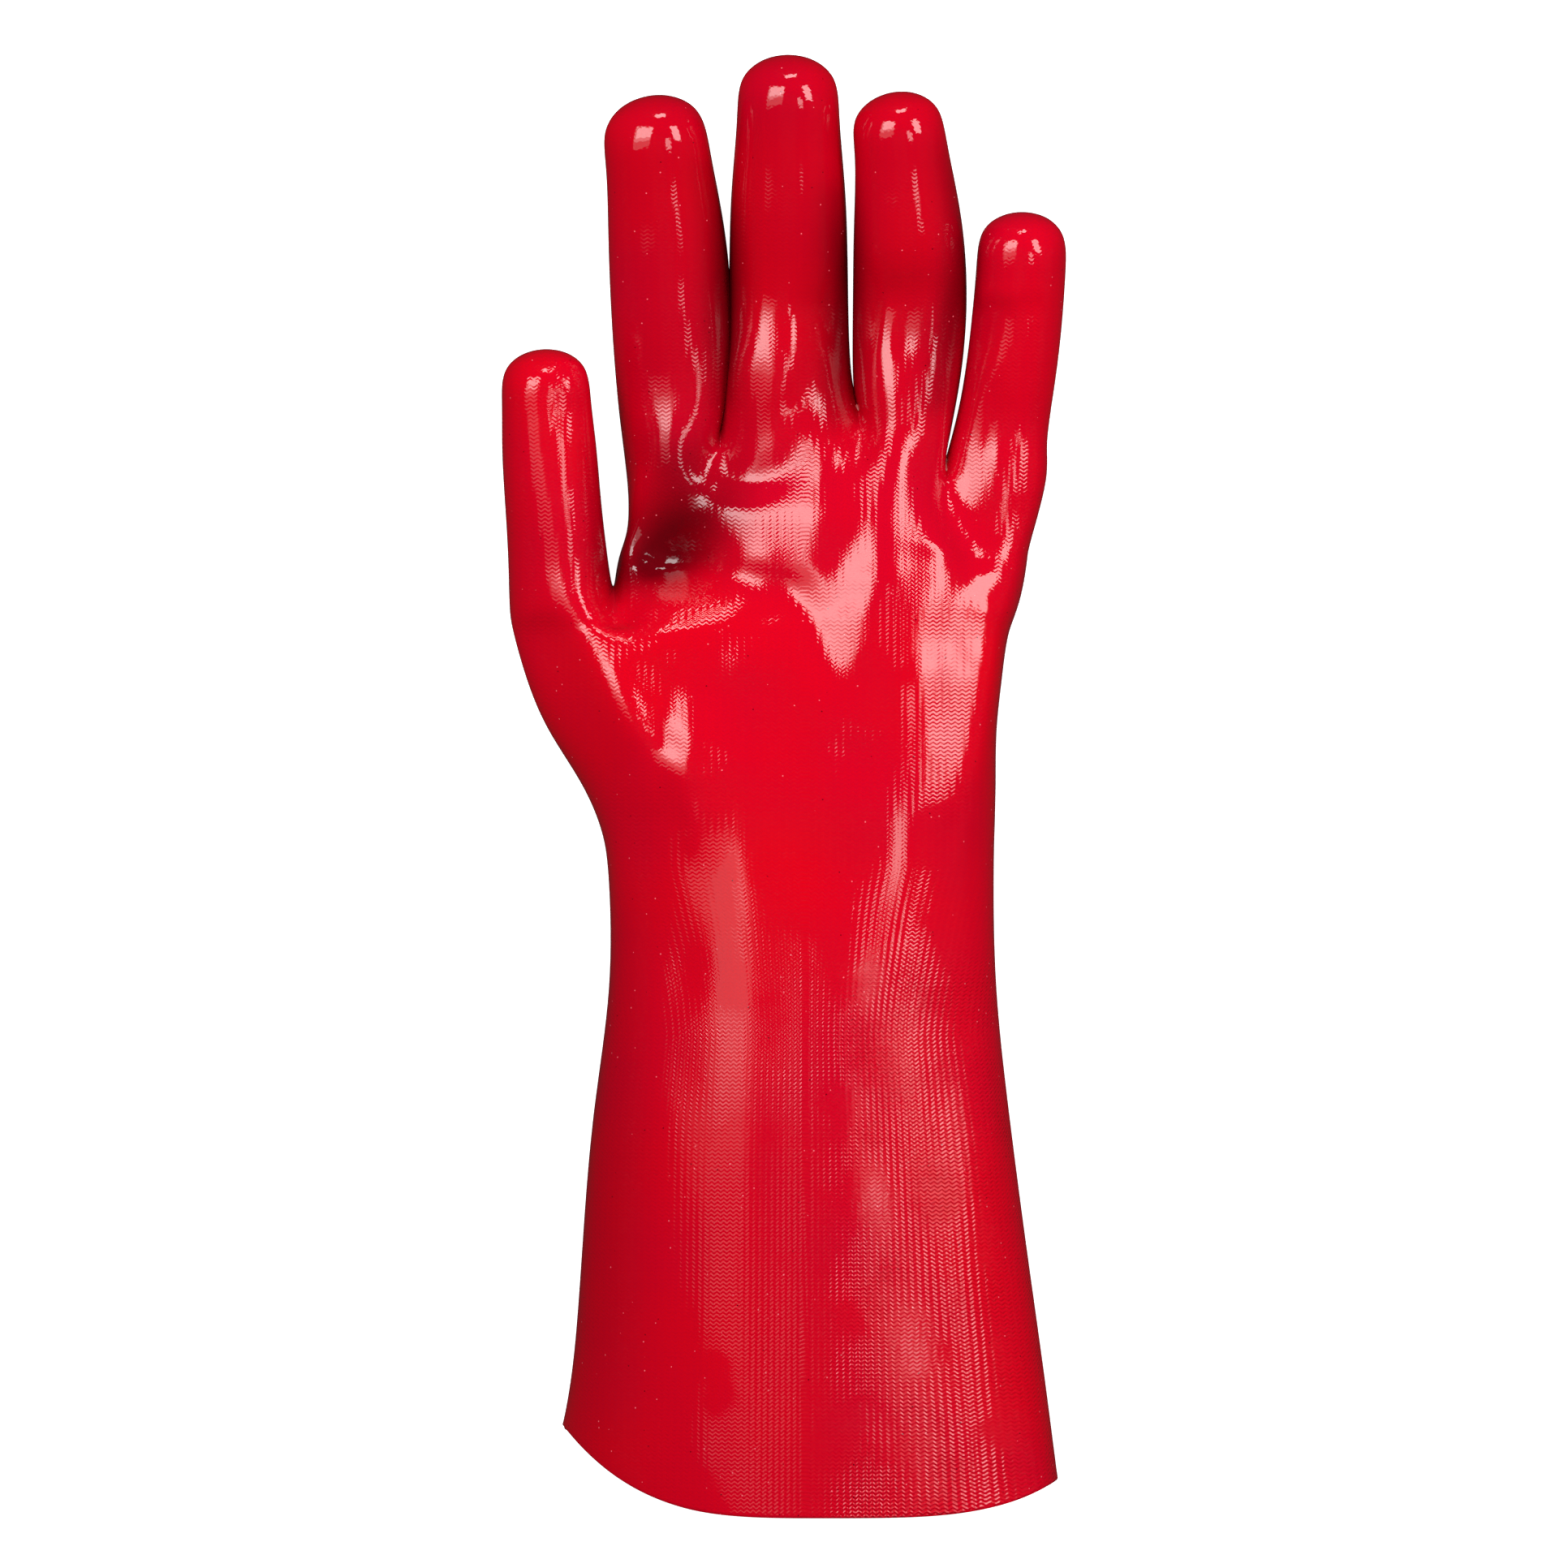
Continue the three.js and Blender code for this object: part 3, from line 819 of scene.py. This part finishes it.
def added_up(strokes: list[Stroke], points: np.ndarray) -> np.ndarray:
    """Adds up strokes at points of the glove.

    Args:
        strokes: The strokes.
        points: The points' places in metres.

    Returns:
        The sum of the strokes' lifts at each point.
    """
    across, along = points[:, 0] / MM, points[:, 1] / MM
    total = np.zeros(len(points))
    for stroke in strokes:
        total += stroke.lift(across, along)
        log.debug("added %s", stroke.name)
    return total


def ramp(values: np.ndarray, start: float, length: float) -> np.ndarray:
    """Returns shares that rise from 0 at the start to 1 a length further on."""
    return np.clip((values - start) / length, 0, 1)


@dataclass(frozen=True)
class ClothLayout:
    """How the knit lies under the coat and how far it shows. Lengths are in metres.

    The wales are counted flat across the hand and round the axis of the cuff, to both sides of the middle.
    Starts and lengths of the changes count from the origin, down the cuff or up the fingers.
    """

    axis_across: float = 5 * MM
    axis_height: float = 28 * MM
    cuff_radius: float = 44 * MM
    cuff_start: float = 20 * MM
    cuff_length: float = 40 * MM
    shown: float = 0.5
    lost_on_fingers: float = 0.38
    fingers_start: float = 110 * MM
    fingers_length: float = 40 * MM
    gained_at_right: float = 1.7
    right_start: float = 8 * MM
    right_length: float = 12 * MM
    right_cuff_start: float = 36 * MM
    right_cuff_length: float = 14 * MM

    def places(self, points: np.ndarray) -> np.ndarray:
        """Works out where points lie in the cloth.

        Args:
            points: The points' places on the glove.

        Returns:
            Each point's place across and along the cloth, and a zero.
        """
        x, y, z = points.T
        flat = x - self.axis_across
        turned = np.arctan2(flat, z - self.axis_height) * self.cuff_radius
        cuff = ramp(-y, self.cuff_start, self.cuff_length)
        across = np.abs(flat + (turned - flat) * cuff)
        return np.stack([across, y, np.zeros(len(y))], axis=1)

    def emboss(self, points: np.ndarray) -> np.ndarray:
        """Works out how far the knit shows at points.

        Args:
            points: The points' places on the glove.

        Returns:
            A factor for the height of the loops at each point.
        """
        x, y, _ = points.T
        fingers = ramp(y, self.fingers_start, self.fingers_length)
        right = ramp(x, self.right_start, self.right_length)
        right_cuff = right * ramp(-y, self.right_cuff_start, self.right_cuff_length)
        return self.shown - self.lost_on_fingers * fingers + self.gained_at_right * right_cuff


@dataclass
class GloveShell:
    """The whole glove: one coated skin with the knit inside it. Lengths are in metres."""

    wall: float = 1.3 * MM
    weld: float = 0.002 * MM
    rim_reach: float = 50 * MM
    rim_turn: float = -0.4
    subdivisions: int = 2
    fitting_rounds: int = 2
    evening_rounds: int = 4
    front_gain: float = 1.6
    # Highest share of painted shade at any point.
    painted_shade_limit: float = 0.92
    folds: list[Stroke] = field(default_factory=glove_folds)
    # Strokes where shade is painted into the coat's colour.
    painted_shade_share: list[Stroke] = field(default_factory=painted_shade_places)
    layout: ClothLayout = ClothLayout()
    coat: PvcCoat = PvcCoat()
    lining: KnitLining = KnitLining()

    def build(self) -> bpy.types.Object:
        """Builds the glove in place of its CAD solid.

        Returns:
            The glove's object.
        """
        cage = self._outer_wall()
        mesh = self._smooth_skin(cage)
        glove = bpy.data.objects.new("coated_glove", mesh)
        bpy.context.scene.collection.objects.link(glove)
        self._sculpt(mesh)
        self._mark_cloth(mesh)
        mesh.materials.append(self.coat.material())
        mesh.materials.append(self.lining.material())
        mesh.shade_smooth()
        thickness = glove.modifiers.new("wall", "SOLIDIFY")
        thickness.thickness = self.wall
        thickness.offset = -1.0
        thickness.material_offset = 1
        thickness.material_offset_rim = 0
        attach(glove, "root")
        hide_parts(SHELL_NODE)
        return glove

    def _outer_wall(self) -> bpy.types.Mesh:
        """Takes the outer wall of a copy of the CAD solid, as quads.

        Returns:
            The wall's mesh.
        """
        made = bmesh.new()
        made.from_mesh(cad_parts[SHELL_NODE].data)
        bmesh.ops.remove_doubles(made, verts=made.verts, dist=self.weld)
        bmesh.ops.join_triangles(
            made,
            faces=made.faces,
            angle_face_threshold=math.pi,
            angle_shape_threshold=math.pi,
        )
        low = min(v.co.y for v in made.verts)
        rim = [
            f
            for f in made.faces
            if f.normal.y < self.rim_turn and f.calc_center_median().y < low + self.rim_reach
        ]
        bmesh.ops.delete(made, geom=rim, context="FACES")
        self._keep_furthest_island(made)
        mesh = bpy.data.meshes.new("glove_wall")
        made.to_mesh(mesh)
        made.free()
        return mesh

    @staticmethod
    def _keep_furthest_island(made: bmesh.types.BMesh) -> None:
        """Deletes all but the island that reaches furthest along the fingers.

        Args:
            made: The mesh, changed in place.
        """
        left = set(made.verts)
        islands = []
        while left:
            island = set()
            border = [left.pop()]
            while border:
                vertex = border.pop()
                island.add(vertex)
                for edge in vertex.link_edges:
                    other = edge.other_vert(vertex)
                    if other in left:
                        left.discard(other)
                        border.append(other)
            islands.append(island)
        furthest = max(islands, key=lambda verts: max(v.co.y for v in verts))
        spare = [v for v in made.verts if v not in furthest]
        bmesh.ops.delete(made, geom=spare, context="VERTS")

    def _smooth_skin(self, cage: bpy.types.Mesh) -> bpy.types.Mesh:
        """Subdivides the wall into a smooth skin that still passes through its points.

        Args:
            cage: The wall's mesh.

        Returns:
            The fine mesh.
        """
        count = len(cage.vertices)
        wanted = read_points(cage)
        holder = bpy.data.objects.new("skin_cage", cage)
        bpy.context.scene.collection.objects.link(holder)
        smoother = holder.modifiers.new("smooth", "SUBSURF")
        smoother.levels = smoother.render_levels = self.subdivisions
        for _ in range(self.fitting_rounds):
            reached = read_points(self._evaluated(holder))[:count]
            write_points(cage, read_points(cage) + wanted - reached)
        skin = self._evaluated(holder)
        bpy.data.objects.remove(holder)
        skin.name = "glove_skin"
        return skin

    @staticmethod
    def _evaluated(holder: bpy.types.Object) -> bpy.types.Mesh:
        """Applies an object's modifiers.

        Args:
            holder: The object.

        Returns:
            A new mesh.
        """
        graph = bpy.context.evaluated_depsgraph_get()
        graph.update()
        return bpy.data.meshes.new_from_object(holder.evaluated_get(graph))

    def _sculpt(self, mesh: bpy.types.Mesh) -> None:
        """Presses the folds into the palm side, and keeps the back above the floor.

        Args:
            mesh: The skin, changed in place.
        """
        points = read_points(mesh)
        facing = read_normals(mesh)
        front = np.clip(facing[:, 2] * self.front_gain, 0, 1)
        lift = self._evened(mesh, added_up(self.folds, points))
        points += facing * (lift * front * MM)[:, None]
        points[:, 2] = np.maximum(points[:, 2], 0.0)
        write_points(mesh, points)

    def _evened(self, mesh: bpy.types.Mesh, values: np.ndarray) -> np.ndarray:
        """Evens out values over neighbouring points.

        Args:
            mesh: The skin.
            values: A value for each point.

        Returns:
            The evened values.
        """
        ends = np.empty(len(mesh.edges) * 2, dtype=int)
        mesh.edges.foreach_get("vertices", ends)
        first, second = ends.reshape(-1, 2).T
        count = np.bincount(ends, minlength=len(values))
        for _ in range(self.evening_rounds):
            total = np.bincount(first, values[second], len(values))
            total += np.bincount(second, values[first], len(values))
            values = (values + total / count) / 2
        return values

    def _mark_cloth(self, mesh: bpy.types.Mesh) -> None:
        """Stores each point's place in the cloth, how far the knit shows and how much painted shade darkens
        the red.

        Args:
            mesh: The skin, changed in place.
        """
        points = read_points(mesh)
        write_attribute(mesh, "knit", self.layout.places(points))
        write_attribute(mesh, "emboss", self.layout.emboss(points))
        # Painted shade: the share of the dark red at each point, from the painted shade strokes.
        painted_shade_share = np.clip(added_up(self.painted_shade_share, points), 0, self.painted_shade_limit)
        write_attribute(mesh, "painted_shade_share", painted_shade_share)


def read_points(mesh: bpy.types.Mesh) -> np.ndarray:
    """Reads a mesh's points.

    Args:
        mesh: The mesh.

    Returns:
        An array of places.
    """
    found = np.empty(len(mesh.vertices) * 3)
    mesh.vertices.foreach_get("co", found)
    return found.reshape(-1, 3)


def read_normals(mesh: bpy.types.Mesh) -> np.ndarray:
    """Reads the outward direction at a mesh's points.

    Args:
        mesh: The mesh.

    Returns:
        An array of unit vectors.
    """
    found = np.empty(len(mesh.vertices) * 3)
    mesh.vertex_normals.foreach_get("vector", found)
    return found.reshape(-1, 3)


def write_points(mesh: bpy.types.Mesh, points: np.ndarray) -> None:
    """Moves a mesh's points.

    Args:
        mesh: The mesh.
        points: Their new places.
    """
    mesh.vertices.foreach_set("co", points.ravel())
    mesh.update()


def write_attribute(mesh: bpy.types.Mesh, name: str, values: np.ndarray) -> None:
    """Stores a number or a vector at each of a mesh's points.

    Args:
        mesh: The mesh.
        name: The attribute's name.
        values: One number or one row for each point.
    """
    kind, entry = ("FLOAT", "value") if values.ndim == 1 else ("FLOAT_VECTOR", "vector")
    layer = mesh.attributes.new(name, kind, "POINT")
    layer.data.foreach_set(entry, values.astype(np.float32).ravel())


@dataclass
class Softbox:
    """One rectangular light that faces the glove. Lengths are in metres."""

    name: str
    place: tuple[float, float, float]
    size: tuple[float, float]
    brightness: float
    mirrored: bool = True
    aim: tuple[float, float, float] = (0.0, 0.05, 0.03)

    def hang(self) -> None:
        """Hangs the light, which only shows as a reflection, and not even that unless it is mirrored."""
        light = bpy.data.lights.new(self.name, "AREA")
        light.shape = "RECTANGLE"
        light.size, light.size_y = self.size
        light.energy = self.brightness * self.size[0] * self.size[1] * math.pi
        lamp = bpy.data.objects.new(self.name, light)
        bpy.context.scene.collection.objects.link(lamp)
        lamp.location = self.place
        back = (Vector(self.place) - Vector(self.aim)).normalized()
        side = Vector((0, 1, 0)).cross(back).normalized()
        turn = Matrix((side, back.cross(side), back)).transposed()
        lamp.rotation_euler = turn.to_euler()
        lamp.visible_glossy = self.mirrored
        lamp.visible_camera = False


def studio_lights() -> list[Softbox]:
    """Lists the lights.

    Returns:
        The softboxes that the coat mirrors, then the fills that it doesn't.
    """
    return [
        Softbox("left_softbox", (-0.46, 0.31, 0.82), (0.62, 0.78), 1.1),
        Softbox("left_softbox_glow", (-0.46, 0.43, 0.82), (0.60, 0.54), 2.2),
        Softbox("left_softbox_core", (-0.44, 0.48, 0.84), (0.56, 0.40), 4.0),
        Softbox("right_softbox", (0.64, 0.42, 0.62), (0.24, 0.50), 7.5),
        Softbox("right_panel", (0.43, 0.05, 0.87), (0.17, 0.25), 4.4),
        Softbox("far_softbox", (0.06, 0.95, 0.30), (0.30, 0.16), 8.0),
        Softbox("overhead_fill", (0.0, -0.04, 1.15), (0.7, 0.7), 1.75, mirrored=False),
        Softbox("right_fill", (1.1, 0.1, 0.7), (0.7, 0.9), 1.9, mirrored=False),
        Softbox("low_right_fill", (1.2, 0.0, 0.22), (0.4, 0.8), 2.6, mirrored=False),
        Softbox("low_left_fill", (-1.2, 0.0, 0.22), (0.4, 0.8), 2.6, mirrored=False),
        Softbox("low_far_fill", (0.0, 1.2, 0.22), (0.8, 0.4), 2.0, mirrored=False),
        Softbox("low_near_fill", (0.0, -1.2, 0.22), (0.8, 0.4), 3.0, mirrored=False),
    ]


@dataclass
class Studio:
    """Floor, lights and camera. Lengths are in metres."""

    floor_size: float = 8.0
    camera_height: float = 4.0
    camera_reach: float = 20.0
    frame_width: float = PIXEL * PHOTO_PIXELS
    glove_height: float = 0.035
    room_colour: Colour = (1.0, 1.0, 1.0, 1.0)
    room_glow: float = 0.02
    floor: FloorFinish = FloorFinish()
    softboxes: list[Softbox] = field(default_factory=studio_lights)

    def build(self) -> None:
        """Builds the studio round the glove."""
        self._lay_floor()
        self._hang_lights()
        self._place_camera()
        bpy.context.scene.view_settings.view_transform = "Standard"

    def _lay_floor(self) -> None:
        """Lays the floor under the glove."""
        made = bmesh.new()
        bmesh.ops.create_grid(made, x_segments=1, y_segments=1, size=self.floor_size / 2)
        mesh = bpy.data.meshes.new("floor")
        made.to_mesh(mesh)
        made.free()
        mesh.materials.append(self.floor.material())
        floor = bpy.data.objects.new("floor", mesh)
        bpy.context.scene.collection.objects.link(floor)
        floor.visible_glossy = False
        floor.visible_diffuse = False

    def _hang_lights(self) -> None:
        """Hangs the softboxes and sets a dim room."""
        for box in self.softboxes:
            box.hang()
        world = bpy.data.worlds.new("dim_room")
        bpy.context.scene.world = world
        world.use_nodes = True
        background = world.node_tree.nodes["Background"]
        background.inputs["Color"].default_value = self.room_colour
        background.inputs["Strength"].default_value = self.room_glow

    def _place_camera(self) -> None:
        """Places the camera straight above the palm."""
        camera = bpy.data.cameras.new("camera")
        camera.lens = camera.sensor_width * (self.camera_height - self.glove_height) / self.frame_width
        camera.clip_end = self.camera_reach
        holder = bpy.data.objects.new("camera", camera)
        bpy.context.scene.collection.objects.link(holder)
        holder.location = (0.0, 0.0, self.camera_height)
        bpy.context.scene.camera = holder


def main() -> None:
    """Builds the glove and its studio."""
    logging.basicConfig(level=logging.INFO)
    glove = GloveShell().build()
    log.info("%s: %d faces", glove.name, len(glove.data.polygons))
    Studio().build()


if __name__ == "__main__":
    main()
